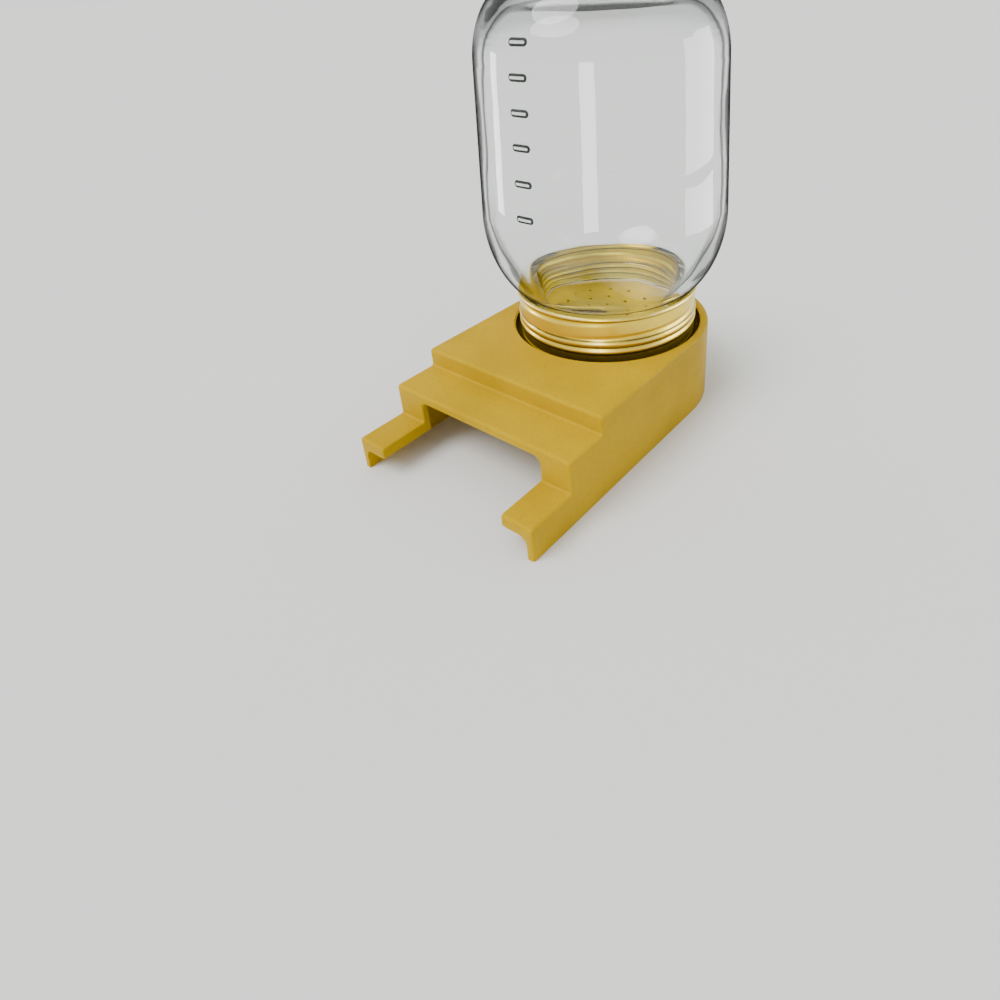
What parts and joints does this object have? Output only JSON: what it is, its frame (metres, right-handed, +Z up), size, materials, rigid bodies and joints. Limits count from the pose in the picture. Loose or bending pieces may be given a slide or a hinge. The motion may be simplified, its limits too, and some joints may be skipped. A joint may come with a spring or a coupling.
{
  "type": "entrance feeder",
  "caption": "Bee hive entrance feeder: an upturned clear screw-top jar with a perforated closure stands in the socket of a low yellow moulded base with forward prongs.",
  "frame": {"origin": "on the ground, under the centre of the whole feeder's box", "axes": "+Z up along the jar's axis; the prongs that enter the hive point along -Y; +X to the right seen from the hive looking at the feeder's front"},
  "size_m": [0.0926, 0.1438, 0.1575],
  "materials": {
    "base_plastic": "satin moulded",
    "jar_glass": "clear",
    "band_lacquer": "gold lacquer",
    "lid_lacquer": "pale gold lacquer",
    "seal_compound": "buff, matt"
  },
  "bodies": {
    "base": {"feeder_base": "base_plastic"},
    "closure": {"screw_band": "band_lacquer"},
    "lid": {"feed_lid": "lid_lacquer", "sealing_ring": "seal_compound"},
    "jar": {"glass_jar": "jar_glass"}
  },
  "joints": [
    {"name": "closure_lift", "type": "slide", "parent": "base", "child": "closure", "axis": [0, 0, 1], "range_m": [0, 0.06]},
    {"name": "jar_turn", "type": "hinge", "parent": "closure", "child": "lid", "pos_m": [0, 0.0256, 0.0296], "axis": [0, 0, 1], "range_deg": [0, 450]},
    {"name": "jar_travel", "type": "slide", "parent": "lid", "child": "jar", "axis": [0, 0, 1], "range_m": [0, 0.008]}
  ],
  "couplings": [
    {"joint": "jar_travel", "follows": "jar_turn", "m_per_rad": 0.0010106}
  ]
}
